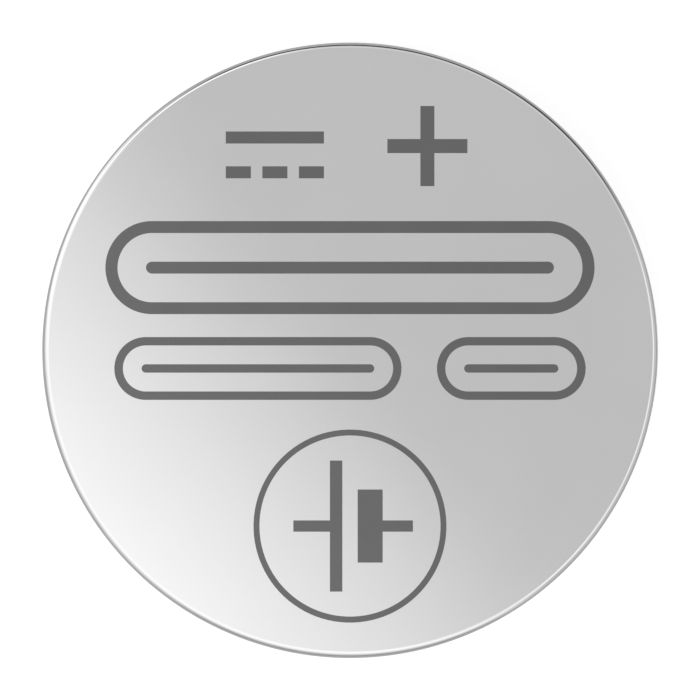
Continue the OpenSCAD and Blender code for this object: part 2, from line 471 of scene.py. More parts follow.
@dataclass(frozen=True)
class PlatedSteel(Finish):
    """Nickel-plated sheet: rolled flat faces, and walls marked by the tools that drew and rolled them.

    Attributes:
        face_low: the height where the wall's marks start to give way to the face's, in millimetres.
        face_high: the height where the face's marks are whole.
        face_grain: the depth of the face's streaks.
        wall_grain: the depth of the wall's rings and draw marks.
        drawn_share: the draw marks' part of that depth.
        wall_dull: how much rougher the draw marks are.
        wall_base: how much rougher the whole wall is.
        haze_shades: the shades of the haze.
        haze_dull: how much the haze varies the roughness.
        hair_dull: how much rougher the scratches are.
        line_share: how strongly the wall's lines show.
        line_shade: their shade.
        edge_radius: the radius of the rubbed outer edge of the face.
        edge_height: its height.
        edge_share: how strongly it shows.
        roll_radius: the radius of the ring that the rolling head polished.
        roll_height: its height.
        roll_share: how strongly it shows.
        roll_polish: how much smoother it is.
        worn_shade: the shade of what is rubbed.
    """

    face_low: float = 4.72
    face_high: float = 4.95
    face_grain: float = 0.00006
    wall_grain: float = 0.0014
    drawn_share: float = 0.3
    wall_dull: float = 0.09
    wall_base: float = 0.02
    haze_shades: Shades = (0.988, 1.012)
    haze_dull: float = 0.03
    hair_dull: float = 0.05
    line_share: float = 0.5
    line_shade: float = 0.8
    edge_radius: float = 12.18
    edge_height: float = 4.92
    edge_share: float = 0.4
    roll_radius: float = 12.2
    roll_height: float = 1.35
    roll_share: float = 0.5
    roll_polish: float = 0.06
    worn_shade: float = 1.12

    def draw(self, graph: Graph, position: NodeSocket) -> Coat:
        """Draws streaks on the face, rings and draw marks on the wall, haze, scratches and rubbed edges."""
        on_face = graph.ramp(graph.split(position)[2], self.face_low, self.face_high)
        on_wall = graph.rest(on_face)
        streaks = EFFECTS.place(graph, Effect.SHEET_GRAIN, position, length=5.0, pitch=0.05)
        rings = EFFECTS.place(graph, Effect.TURNED_LINES, position, pitch=0.05)
        drawn = EFFECTS.place(graph, Effect.DRAW_MARKS, position, length=3.5, pitch=0.1)
        haze = EFFECTS.place(graph, Effect.HAZE, position, size=7.0)
        hairs = EFFECTS.place(graph, Effect.SCRATCHES, position, length=4.0, pitch=0.04, share=0.68)
        edge = EFFECTS.place(
            graph, Effect.RING_WEAR, position, radius=self.edge_radius, height=self.edge_height, width=0.2)
        roll = EFFECTS.place(
            graph, Effect.RING_WEAR, position, radius=self.roll_radius, height=self.roll_height, width=0.55)

        plain = self.varied(graph, haze, self.haze_shades)
        lined = self.laid(graph, plain, self.line_shade, rings, drawn, on_wall, self.line_share)
        rubbed = (graph.times(edge, self.edge_share), graph.times(roll, self.roll_share))
        colour = self.laid(graph, lined, self.worn_shade, graph.math("MAXIMUM", *rubbed))

        scratched = graph.scaled(hairs, self.hair_dull, self.uneven(graph, haze, self.haze_dull))
        wall = graph.scaled(on_wall, graph.scaled(drawn, self.wall_dull, self.wall_base), scratched)
        roughness = graph.scaled(roll, -self.roll_polish, wall)

        face_part = graph.times(streaks, on_face, self.face_grain / self.wall_grain)
        marked = graph.scaled(drawn, self.drawn_share, graph.times(rings, 1.0 - self.drawn_share))
        relief = graph.scaled(marked, on_wall, face_part)
        return Coat(colour, roughness, relief, self.wall_grain)


@dataclass(frozen=True)
class BlastedSteel(Finish):
    """Plated steel with a finely blasted contact face and drawn sides.

    Attributes:
        blast_full: the height up to which the blasting is whole, in millimetres.
        blast_end: the height at which it ends.
        pit_size: the size of the pits.
        pit_depth: their depth.
        painted_pit_share: how strongly the painted shade in the pits' bottoms darkens the face.
        painted_pit_shade: the shade painted in the pits' bottoms.
        haze_shades: the shades of the haze.
        haze_dull: how much the haze varies the roughness.
        rim_radius: the radius of the rubbed edge of the contact face.
        rim_height: its height.
        wear_share: how strongly the rubbed places and the scratches show.
        worn_shade: their shade.
        wear_polish: how much smoother the rubbed edge is.
        ring_share: the depth of the sides' rings, as a part of the pits' depth.
    """

    blast_full: float = 0.05
    blast_end: float = 0.15
    pit_size: float = 0.11
    pit_depth: float = 0.004
    painted_pit_share: float = 0.35
    painted_pit_shade: float = 0.7
    haze_shades: Shades = (0.95, 1.04)
    haze_dull: float = 0.08
    rim_radius: float = 9.7
    rim_height: float = 0.1
    wear_share: float = 0.5
    worn_shade: float = 1.25
    wear_polish: float = 0.12
    ring_share: float = 0.15

    def draw(self, graph: Graph, position: NodeSocket) -> Coat:
        """Draws the pits of the contact face with painted shade in their bottoms, the rings of the sides and
        the rubbed edge.
        """
        height = graph.split(position)[2]
        on_face = graph.ramp(height, self.blast_full, self.blast_end, start=1.0, end=0.0)
        pits = EFFECTS.place(graph, Effect.PITS, position, size=self.pit_size, soft=0.6)
        rings = EFFECTS.place(graph, Effect.TURNED_LINES, position, pitch=0.05)
        haze = EFFECTS.place(graph, Effect.HAZE, position, size=5.0)
        hairs = EFFECTS.place(graph, Effect.SCRATCHES, position, length=3.0, pitch=0.05, share=0.66)
        wear = EFFECTS.place(
            graph, Effect.RING_WEAR, position, radius=self.rim_radius, height=self.rim_height, width=0.5)

        plain = self.varied(graph, haze, self.haze_shades)
        # The dimples' bottoms are painted darker: painted shade in the pits, not a colour of the steel.
        pit_shaded = self.laid(graph, plain, self.painted_pit_shade, graph.rest(pits), on_face, self.painted_pit_share)
        rubbed = graph.math("MAXIMUM", wear, hairs)
        colour = self.laid(graph, pit_shaded, self.worn_shade, rubbed, self.wear_share)
        roughness = graph.scaled(wear, -self.wear_polish, self.uneven(graph, haze, self.haze_dull))
        wall_part = graph.times(rings, graph.rest(on_face), self.ring_share)
        return Coat(colour, roughness, graph.scaled(pits, on_face, wall_part), self.pit_depth)


@dataclass(frozen=True)
class MouldedPlastic(Finish):
    """Dense moulded plastic with a soft sheen and a scuffed lip.

    Attributes:
        grain_share: how strongly the moulded grain shows.
        grain_shade: its shade.
        lip_radius: the radius of the scuffed lip, in millimetres.
        lip_height: its height.
        scuff_share: how strongly the scuffs show.
        scuff_shade: their shade.
        ring_dull: how much the tool's rings vary the roughness.
        ring_share: the rings' part of the depth.
        depth: the depth of the rings and the grain.
    """

    metallic: float = 0.0
    grain_share: float = 0.5
    grain_shade: float = 1.5
    lip_radius: float = 10.3
    lip_height: float = 0.76
    scuff_share: float = 0.3
    scuff_shade: float = 3.0
    ring_dull: float = 0.12
    ring_share: float = 0.5
    depth: float = 0.003

    def draw(self, graph: Graph, position: NodeSocket) -> Coat:
        """Draws a fine moulded grain, rings from the tool and paler rubbed patches."""
        pits = EFFECTS.place(graph, Effect.PITS, position, size=0.05, soft=0.3)
        rings = EFFECTS.place(graph, Effect.TURNED_LINES, position, pitch=0.09)
        wear = EFFECTS.place(
            graph, Effect.RING_WEAR, position, radius=self.lip_radius, height=self.lip_height, width=0.25)
        grained = self.laid(graph, self.colour, self.grain_shade, pits, self.grain_share)
        colour = self.laid(graph, grained, self.scuff_shade, wear, self.scuff_share)
        relief = graph.scaled(rings, self.ring_share, graph.times(pits, 1.0 - self.ring_share))
        return Coat(colour, self.uneven(graph, rings, self.ring_dull), relief, self.depth)


@dataclass(frozen=True)
class EtchedMark(Finish):
    """Dark filling at the bottom of a mark: a slight gloss, slightly uneven, with paler specks.

    Attributes:
        haze_shades: the shades of the haze.
        speck_share: how strongly the specks show.
        speck_shade: their shade.
        speck_dull: how much they vary the roughness.
        depth: their depth in millimetres.
    """

    metallic: float = 0.0
    specular: float = 0.72
    haze_shades: Shades = (0.94, 1.06)
    speck_share: float = 0.35
    speck_shade: float = 1.18
    speck_dull: float = 0.1
    depth: float = 0.001

    def draw(self, graph: Graph, position: NodeSocket) -> Coat:
        """Draws the filling's grain and its faint unevenness."""
        pits = EFFECTS.place(graph, Effect.PITS, position, size=0.06, soft=0.5)
        haze = EFFECTS.place(graph, Effect.HAZE, position, size=2.5)
        plain = self.varied(graph, haze, self.haze_shades)
        specked = self.laid(graph, plain, self.speck_shade, pits, self.speck_share)
        return Coat(specked, self.uneven(graph, pits, self.speck_dull), pits, self.depth)


@dataclass(frozen=True)
class SoftMetal(Finish):
    """Lithium: dull silver with rolling streaks and grey tarnish.

    Attributes:
        tarnish_shades: the shades of the tarnish and of the clean metal.
        tarnish_dull: how much the roughness differs between them.
        depth: the depth of the streaks, in millimetres.
    """

    tarnish_shades: Shades = (0.8, 1.1)
    tarnish_dull: float = 0.2
    depth: float = 0.004

    def draw(self, graph: Graph, position: NodeSocket) -> Coat:
        """Draws streaks and tarnish."""
        streaks = EFFECTS.place(graph, Effect.SHEET_GRAIN, position, length=6.0, pitch=0.12)
        haze = EFFECTS.place(graph, Effect.HAZE, position, size=3.0)
        colour = self.varied(graph, haze, self.tarnish_shades)
        return Coat(colour, self.uneven(graph, haze, self.tarnish_dull), streaks, self.depth)


@dataclass(frozen=True)
class Felt(Finish):
    """The separator's white fibre mat.

    Attributes:
        fibre_and_painted_gap_shades: the painted shade in the gaps between the fibres, and the shade on them.
        depth: the depth between them, in millimetres.
    """

    metallic: float = 0.0
    fibre_and_painted_gap_shades: Shades = (0.86, 1.05)
    depth: float = 0.02

    def draw(self, graph: Graph, position: NodeSocket) -> Coat:
        """Draws crossing fibres, with shade painted into the gaps between them."""
        along = EFFECTS.place(graph, Effect.SCRATCHES, position, length=1.5, pitch=0.06, share=0.5)
        across = EFFECTS.place(graph, Effect.SHEET_GRAIN, position, length=1.2, pitch=0.08)
        fibres = graph.math("MAXIMUM", along, across)
        # The colour darkens between the fibres, where the bump is low: painted shade in the gaps.
        return Coat(self.varied(graph, fibres, self.fibre_and_painted_gap_shades), self.roughness, fibres, self.depth)


@dataclass(frozen=True)
class PressedPowder(Finish):
    """The cathode's black pressed powder.

    Attributes:
        haze_shades: the shades of the haze.
        grain_share: how strongly the grains show.
        grain_shade: their shade.
        glint: how much smoother they are.
        depth: their depth in millimetres.
    """

    metallic: float = 0.0
    haze_shades: Shades = (0.7, 1.3)
    grain_share: float = 0.4
    grain_shade: float = 2.5
    glint: float = 0.2
    depth: float = 0.02

    def draw(self, graph: Graph, position: NodeSocket) -> Coat:
        """Draws grains and glints."""
        pits = EFFECTS.place(graph, Effect.PITS, position, size=0.14, soft=0.5)
        haze = EFFECTS.place(graph, Effect.HAZE, position, size=2.0)
        plain = self.varied(graph, haze, self.haze_shades)
        grained = self.laid(graph, plain, self.grain_shade, pits, self.grain_share)
        return Coat(grained, graph.scaled(pits, -self.glint, self.roughness), pits, self.depth)


def dress(node: str, finish: Finish) -> None:
    """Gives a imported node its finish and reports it.

    Args:
        node: the node's name.
        finish: its finish.
    """
    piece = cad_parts[node]
    material = finish.build()
    for slot in piece.material_slots:
        slot.material = material
    log.info("dressed %s with %s: %d faces", node, finish.name, len(piece.data.polygons))


def link(name: str, data: ID) -> Object:
    """Makes an object of a mesh, lamp or camera and puts it in the scene."""
    made = bpy.data.objects.new(name, data)
    bpy.context.scene.collection.objects.link(made)
    return made


class Profile:
    """A section drawn point by point beside the axis and then turned into a closed ring or shell."""

    def __init__(self, x: float, z: float) -> None:
        """Sets the first point, in millimetres."""
        self.mesh = bmesh.new()
        self.first = bmesh.ops.create_vert(self.mesh, co=(x, 0.0, z))["vert"][0]
        self.last = self.first

    def line(self, x: float, z: float) -> "Profile":
        """Draws a straight stretch to a point."""
        drawn = bmesh.ops.extrude_vert_indiv(self.mesh, verts=[self.last])["verts"][0]
        drawn.co = (x, 0.0, z)
        self.last = drawn
        return self

    def arc(self, x: float, z: float, degrees: float, step: float = 7.5) -> "Profile":
        """Draws an arc from the last point.

        Args:
            x: the arc's centre, away from the axis.
            z: the arc's centre, above the floor.
            degrees: how far it turns, towards +Z from +X if positive.
            step: the longest turn of one stretch of it, in degrees.

        Returns:
            The profile, for the next stretch.
        """
        steps = math.ceil(abs(degrees) / step)
        for turn in [math.radians(degrees) / steps] * steps:
            drawn = bmesh.ops.extrude_vert_indiv(self.mesh, verts=[self.last])["verts"][0]
            about = Matrix.Rotation(-turn, 3, "Y")
            bmesh.ops.rotate(self.mesh, verts=[drawn], cent=(x, 0.0, z), matrix=about)
            self.last = drawn
        return self

    def close(self) -> "Profile":
        """Joins the last point to the first."""
        self.mesh.edges.new((self.last, self.first))
        return self

    def turn(self, segments: int) -> BMesh:
        """Turns the section once about the axis.

        Args:
            segments: how many steps the turn has.

        Returns:
            The turned surface, still in millimetres.
        """
        section = self.mesh.verts[:] + self.mesh.edges[:]
        bmesh.ops.spin(self.mesh, geom=section, cent=(0, 0, 0), axis=(0, 0, 1), angle=math.tau,
                       steps=segments, use_merge=True, use_duplicate=False)
        bmesh.ops.remove_doubles(self.mesh, verts=self.mesh.verts[:], dist=MERGE)
        return self.mesh


def pour(source: BMesh, target: BMesh) -> None:
    """Adds one mesh to another and frees the first."""
    carrier = bpy.data.meshes.new("carrier")
    source.to_mesh(carrier)
    source.free()
    target.from_mesh(carrier)
    bpy.data.meshes.remove(carrier)


def finish_mesh(name: str, mesh: BMesh) -> Object:
    """Makes a piece of a closed mesh in millimetres, shaded smooth except on its flats and corners.

    Args:
        name: the piece's name.
        mesh: its mesh, which is freed.

    Returns:
        The piece, riding on the body.
    """
    bmesh.ops.recalc_face_normals(mesh, faces=mesh.faces[:])
    mesh.normal_update()
    for face in mesh.faces:
        face.smooth = abs(face.normal.z) < FLAT
    for edge in mesh.edges:
        edge.smooth = edge.calc_face_angle(0.0) < math.radians(SHARP)
    bmesh.ops.scale(mesh, verts=mesh.verts[:], vec=(MM, MM, MM))
    data = bpy.data.meshes.new(name)
    mesh.to_mesh(data)
    mesh.free()
    piece = link(name, data)
    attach(piece, BODY)
    log.info("built %s: %d faces", name, len(data.polygons))
    return piece


def round_off(mesh: BMesh, edges: list[BMEdge], radius: float) -> None:
    """Rounds a piece's cut edges.

    Args:
        mesh: the piece.
        edges: its cut edges.
        radius: how far the rounding reaches from them.
    """
    bmesh.ops.bevel(mesh, geom=edges, offset=radius, offset_type="OFFSET", segments=3, profile=0.5,
                    affect="EDGES", material=-1)


@dataclass
class FaceMarks:
    """The shallow marks in the positive face: their outlines, their recesses and their dark fillings.

    Attributes:
        depth: how deep the recesses are.
        sunk: how far the fillings lie below the face.
        clearance: the gap between a filling and the side of its recess.
        border: the radius of the circle that the marks stay inside.
        round_steps: how many steps a ring or a pair of round ends has.
        plus_span: how long the plus sign's arms are from end to end.
        plus_stroke: how wide they are.
        plus_x: how far the sign's middle lies to the right.
        top_row_in: how far it lies in from the top of the border.
        dc_w: the width of the sign of direct current.
        dc_line: the height of its line and of its dashes.
        dc_gap: the gap between the line and the dashes.
        dash_gap: the gap between two dashes.
        dc_x: how far the sign's middle lies to the left.
        dc_drop: how far it lies below the plus sign's middle.
        long_frame_y: how far the long frame's middle lies above the axis.
        long_frame_h: its height.
        long_frame_line: the width of its line.
        long_frame_in: how far its ends lie in from the border.
        pair_y: how far the middle of the pair of frames lies below the axis.
        pair_h: their height.
        pair_line: the width of their line.
        pair_right_w: the right one's width.
        pair_gap: the gap between the two.
        pair_in: how far their outer ends lie in from the border.
        ring_d: the ring's outer diameter.
        ring_line: the width of its line.
        ring_in: how far it lies in from the bottom of the border.
        long_plate_h: the height of the cell sign's long plate.
        short_plate_h: the height of its short plate.
        long_plate_w: the long plate's width.
        short_plate_w: the short plate's width.
        plate_gap: the gap between the plates.
        lead_w: how far a lead reaches from the middle of its plate.
        lead_line: how wide it is.
    """

    depth: float = 0.04
    sunk: float = 0.008
    clearance: float = 0.004
    border: float = 11.0
    round_steps: int = 96

    plus_span: float = 3.18
    plus_stroke: float = 0.56
    plus_x: float = 3.07
    top_row_in: float = 2.9

    dc_w: float = 3.9
    dc_line: float = 0.48
    dc_gap: float = 0.9
    dash_gap: float = 0.45
    dc_x: float = 2.98
    dc_drop: float = 0.35

    long_frame_y: float = 3.28
    long_frame_h: float = 3.7
    long_frame_line: float = 0.48
    long_frame_in: float = 0.8

    pair_y: float = 0.72
    pair_h: float = 2.5
    pair_line: float = 0.34
    pair_right_w: float = 5.9
    pair_gap: float = 1.4
    pair_in: float = 1.63

    ring_d: float = 7.66
    ring_line: float = 0.24
    ring_in: float = 0.2
    long_plate_h: float = 5.2
    short_plate_h: float = 2.9
    long_plate_w: float = 0.5
    short_plate_w: float = 1.0
    plate_gap: float = 0.6
    lead_w: float = 1.7
    lead_line: float = 0.45

    def chord(self, height: float, inset: float) -> float:
        """The length of a row at a height, between the border circle's two sides less an inset at each."""
        return 2 * (math.sqrt(self.border ** 2 - height ** 2) - inset)

    def outlines(self, less: float) -> dict[str, BMesh]:
        """Draws every mark flat, at its place.

        Args:
            less: how far each outline stays inside the mark's full size.

        Returns:
            Each mark's name and flat mesh.
        """
        top_y = self.border - self.top_row_in
        pair_w = self.chord(self.pair_y, self.pair_in)
        left_w = pair_w - self.pair_gap - self.pair_right_w
        long_w = self.chord(self.long_frame_y, self.long_frame_in)
        ring_y = self.ring_in + self.ring_d / 2 - self.border
        long_frame = self.framed_bar(long_w, self.long_frame_h, self.long_frame_line, less)
        left_frame = self.framed_bar(left_w, self.pair_h, self.pair_line, less)
        right_frame = self.framed_bar(self.pair_right_w, self.pair_h, self.pair_line, less)
        drawn = {
            "plus": (self.cross(less), self.plus_x, top_y),
            "direct_current": (self.direct_current(less), -self.dc_x, top_y - self.dc_drop),
            "long_frame": (long_frame, 0.0, self.long_frame_y),
            "left_frame": (left_frame, (left_w - pair_w) / 2, -self.pair_y),
            "right_frame": (right_frame, (pair_w - self.pair_right_w) / 2, -self.pair_y),
            "ring": (self.band(self.ring_d, self.ring_d, self.ring_line, less), 0.0, ring_y),
            "cell_sign": (self.cell_sign(less), 0.0, ring_y),
        }
        for mesh, x, y in drawn.values():
            bmesh.ops.translate(mesh, verts=mesh.verts[:], vec=(x, y, 0.0))
        return {name: mesh for name, (mesh, x, y) in drawn.items()}

    def band(self, width: float, height: float, line: float, less: float) -> BMesh:
        """A frame with round ends: a ring pulled apart at its middle.

        Args:
            width: the frame's length.
            height: the frame's height; a frame as long as it is high is a ring.
            line: the width of its line; half the height or more fills it.
            less: how far the outline stays inside its full size.

        Returns:
            The flat frame about the origin.
        """
        mesh = bmesh.new()
        outer = height / 2 - less
        filled = line >= height / 2
        bmesh.ops.create_circle(mesh, cap_ends=filled, segments=self.round_steps, radius=outer)
        if not filled:
            inner = (height / 2 - line + less) / outer
            widened = bmesh.ops.extrude_edge_only(mesh, edges=mesh.edges[:])
            inside = [part for part in widened["geom"] if isinstance(part, BMVert)]
            bmesh.ops.scale(mesh, verts=inside, vec=(inner, inner, 1))
        half_step = Matrix.Rotation(math.pi / self.round_steps, 3, "Z")
        bmesh.ops.rotate(mesh, verts=mesh.verts[:], cent=(0, 0, 0), matrix=half_step)
        for side in (-1, 1):
            end = [v for v in mesh.verts if v.co.x * side > 0]
            bmesh.ops.translate(mesh, verts=end, vec=(side * (width - height) / 2, 0, 0))
        return mesh

    def framed_bar(self, width: float, height: float, line: float, less: float) -> BMesh:
        """A frame with a bar of the same line along its middle."""
        frame_mesh = self.band(width, height, line, less)
        pour(self.band(width - height + line, line, line, less), frame_mesh)
        return frame_mesh

    def block(self, x: float, y: float, width: float, height: float, less: float) -> BMesh:
        """A flat rectangle about a point."""
        mesh = bmesh.new()
        bmesh.ops.create_grid(mesh, x_segments=1, y_segments=1, size=1.0)
        bmesh.ops.scale(mesh, verts=mesh.verts[:], vec=(width / 2 - less, height / 2 - less, 1))
        bmesh.ops.translate(mesh, verts=mesh.verts[:], vec=(x, y, 0))
        return mesh

    def direct_current(self, less: float) -> BMesh:
        """The sign of direct current: a full line above three dashes."""
        rise = (self.dc_gap + self.dc_line) / 2
        dash_w = (self.dc_w - 2 * self.dash_gap) / 3
        mesh = self.block(0.0, rise, self.dc_w, self.dc_line, less)
        for place in (-1, 0, 1):
            pour(self.block(place * (dash_w + self.dash_gap), -rise, dash_w, self.dc_line, less), mesh)
        return mesh

    def cross(self, less: float) -> BMesh:
        """The polarity sign: a grid of nine faces without its four corners."""
        mesh = bmesh.new()
        bmesh.ops.create_grid(mesh, x_segments=3, y_segments=3, size=1.0)
        corners = [f for f in mesh.faces if min(abs(c) for c in f.calc_center_median()[:2]) > GRID_MIDDLE]
        bmesh.ops.delete(mesh, geom=corners, context="FACES")
        for vertex in mesh.verts:
            for axis in (0, 1):
                reach = self.plus_span if abs(vertex.co[axis]) > GRID_EDGE else self.plus_stroke
                vertex.co[axis] = math.copysign(reach / 2 - less, vertex.co[axis])
        return mesh

    def cell_sign(self, less: float) -> BMesh:
        """The circuit sign of a cell: a long thin plate, a short thick one and their leads."""
        long_x = -(self.plate_gap + self.long_plate_w) / 2
        short_x = (self.plate_gap + self.short_plate_w) / 2
        mesh = self.plate(long_x, self.long_plate_w, self.long_plate_h, -self.lead_w, less)
        pour(self.plate(short_x, self.short_plate_w, self.short_plate_h, self.lead_w, less), mesh)
        return mesh

    def plate(self, x: float, width: float, height: float, lead: float, less: float) -> BMesh:
        """A plate with its lead: a column of three faces, the middle one drawn out.

        Args:
            x: the plate's middle.
            width: the plate's width.
            height: the plate's height.
            lead: how far the lead reaches from the plate's middle, to the left if negative.
            less: how far the outline stays inside its full size.

        Returns:
            The flat plate.
        """
        mesh = bmesh.new()
        bmesh.ops.create_grid(mesh, x_segments=1, y_segments=3, size=1.0)
        for vertex in mesh.verts:
            reach = height if abs(vertex.co.y) > GRID_EDGE else self.lead_line
            vertex.co.x = math.copysign(width / 2 - less, vertex.co.x)
            vertex.co.y = math.copysign(reach / 2 - less, vertex.co.y)
        side = math.copysign(1.0, lead)
        root = [e for e in mesh.edges
                if all(v.co.x * side > 0 and abs(v.co.y) < self.lead_line for v in e.verts)]
        drawn = bmesh.ops.extrude_edge_only(mesh, edges=root)
        tip = [part for part in drawn["geom"] if isinstance(part, BMVert)]
        bmesh.ops.translate(mesh, verts=tip, vec=(lead - side * width / 2, 0, 0))
        bmesh.ops.translate(mesh, verts=mesh.verts[:], vec=(x, 0, 0))
        return mesh

    def sink(self, shell: BMesh, face_z: float) -> None:
        """Adds the recesses' floors and walls to a shell, their upper edges open at the height of its face.

        Args:
            shell: the mesh that they are added to.
            face_z: the height of its face.
        """
        pockets = bmesh.new()
        for mesh in self.outlines(0.0).values():
            pour(mesh, pockets)
        bmesh.ops.translate(pockets, verts=pockets.verts[:], vec=(0, 0, face_z - self.depth))
        walls = bmesh.ops.extrude_edge_only(pockets, edges=[e for e in pockets.edges if e.is_boundary])
        upper = [part for part in walls["geom"] if isinstance(part, BMVert)]
        bmesh.ops.translate(pockets, verts=upper, vec=(0, 0, self.depth))
        pour(pockets, shell)

    def fill(self, material: Material, face_z: float) -> None:
        """Lays a dark filling in every recess, a little below the face.

        Args:
            material: what they are filled with.
            face_z: the height of the face.
        """
        for name, mesh in self.outlines(self.clearance).items():
            raised = bmesh.ops.extrude_face_region(mesh, geom=mesh.faces[:])
            top = [part for part in raised["geom"] if isinstance(part, BMVert)]
            bmesh.ops.translate(mesh, verts=top, vec=(0, 0, self.depth - self.sunk))
            bmesh.ops.translate(mesh, verts=mesh.verts[:], vec=(0, 0, face_z - self.depth))
            piece = finish_mesh("mark_" + name, mesh)
            piece.data.materials.append(material)


@dataclass
class PositiveCan:
    """The drawn can: its marked face, its wall and the edge rolled in over the gasket.

    Attributes:
        radius: the radius of the wall.
        height: the height of the face above the contact.
        sheet: the thickness of the sheet.
        face_bend_r: the radius of the bend between face and wall.
        roll_r: the inner radius of the rolled edge.
        roll_angle: how far the edge is rolled in, in degrees.
        roll_z: the height where the roll starts.
        lip_bevel: how far the cut edge's corners are rounded.
        lip_corner: the angle from which an edge is such a corner, in radians.
        inner_step: the longest turn of one stretch of the small inner bend, in degrees.
        outer_step: the longest turn of one stretch of the outer bends, in degrees.
        finish: the can's finish.
        mark_finish: the fillings' finish.
        marks: the marks in the face.
    """

    radius: float = 12.25
    height: float = 5.0
    sheet: float = 0.25
    face_bend_r: float = 0.3
    roll_r: float = 0.9
    roll_angle: float = 125.0
    roll_z: float = 1.5
    lip_bevel: float = 0.04
    lip_corner: float = 1.0
    inner_step: float = 30.0
    outer_step: float = 5.0
    finish: Finish = PlatedSteel("nickel_plate", (0.508, 0.508, 0.508), 0.11)
    mark_finish: Finish = EtchedMark("etched_mark", (0.076, 0.076, 0.076), 0.22)
    marks: FaceMarks = field(default_factory=FaceMarks)

    @property
    def bore_r(self) -> float:
        """The radius inside the wall."""
        return self.radius - self.sheet

    @property
    def inside_z(self) -> float:
        """The height of the face's inside."""
        return self.height - self.sheet

    @property
    def roll_x(self) -> float:
        """How far the roll's centre lies from the axis."""
        return self.bore_r - self.roll_r

    def build(self) -> Object:
        """Builds the can and its marks.

        Returns:
            The can.
        """
        bend_x = self.radius - self.face_bend_r
        bend_z = self.height - self.face_bend_r
        section = Profile(0.0, self.inside_z).line(bend_x, self.inside_z)
        section.arc(bend_x, bend_z, -QUARTER, self.inner_step).line(self.bore_r, self.roll_z)
        section.arc(self.roll_x, self.roll_z, -self.roll_angle)
        lip = math.radians(-self.roll_angle)
        outer_r = self.roll_r + self.sheet
        section.line(self.roll_x + outer_r * math.cos(lip), self.roll_z + outer_r * math.sin(lip))
        section.arc(self.roll_x, self.roll_z, self.roll_angle, self.outer_step).line(self.radius, bend_z)
        section.arc(bend_x, bend_z, QUARTER, self.outer_step)
        shell = section.turn(SEGMENTS)
        corners = [e for e in shell.edges
                   if e.calc_face_angle(0.0) > self.lip_corner and e.calc_length() > self.lip_bevel]
        round_off(shell, corners, self.lip_bevel)
        self.marks.sink(shell, self.height)
        # The face fills the flat between the turned rim and the recesses' open edges.
        rim = [e for e in shell.edges if e.is_boundary]
        bmesh.ops.triangle_fill(shell, use_beauty=True, use_dissolve=False, edges=rim)
        can = finish_mesh("can_shell", shell)
        can.data.materials.append(self.finish.build())
        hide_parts("positive_can")
        self.marks.fill(self.mark_finish.build(), self.height)
        return can


@dataclass
class NegativeCap:
    """The pressed cap: contact plate, riser, shoulder and the skirt inside the gasket.

    Attributes:
        contact_r: the outer radius of the riser round the contact plate.
        sheet: the thickness of the sheet.
        bend_r: the inner radius of its bends.
        shoulder_z: the height of the shoulder's underside.
        skirt_r: the skirt's outer radius.
        skirt_end_z: the height where the skirt ends.
        finish: the cap's finish.
    """

    contact_r: float = 9.904
    sheet: float = 0.25
    bend_r: float = 0.15
    shoulder_z: float = 1.1
    skirt_r: float = 11.5
    skirt_end_z: float = 4.25
    finish: Finish = BlastedSteel("blasted_nickel", (0.47, 0.47, 0.465), 0.38)

    @property
    def skirt_in(self) -> float:
        """The skirt's inner radius."""
        return self.skirt_r - self.sheet

    def build(self) -> Object:
        """Builds the cap.

        Returns:
            The cap.
        """
        outer = self.bend_r + self.sheet
        plate_x = self.contact_r - outer
        foot_x = self.contact_r + self.bend_r
        foot_z = self.shoulder_z - self.bend_r
        skirt_x = self.skirt_r - outer
        skirt_z = self.shoulder_z + outer
        section = Profile(0.0, 0.0).line(plate_x, 0.0).arc(plate_x, outer, QUARTER)
        section.line(self.contact_r, foot_z).arc(foot_x, foot_z, -QUARTER)
        section.line(skirt_x, self.shoulder_z).arc(skirt_x, skirt_z, QUARTER)
        section.line(self.skirt_r, self.skirt_end_z).line(self.skirt_in, self.skirt_end_z)
        section.line(self.skirt_in, skirt_z).arc(skirt_x, skirt_z, -QUARTER)
        section.line(foot_x, self.shoulder_z + self.sheet).arc(foot_x, foot_z, QUARTER)
        section.line(self.contact_r - self.sheet, outer).arc(plate_x, outer, -QUARTER)
        section.line(0.0, self.sheet)
        cap = finish_mesh("cap_shell", section.turn(SEGMENTS))
        cap.data.materials.append(self.finish.build())
        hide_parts("negative_cap")
        return cap


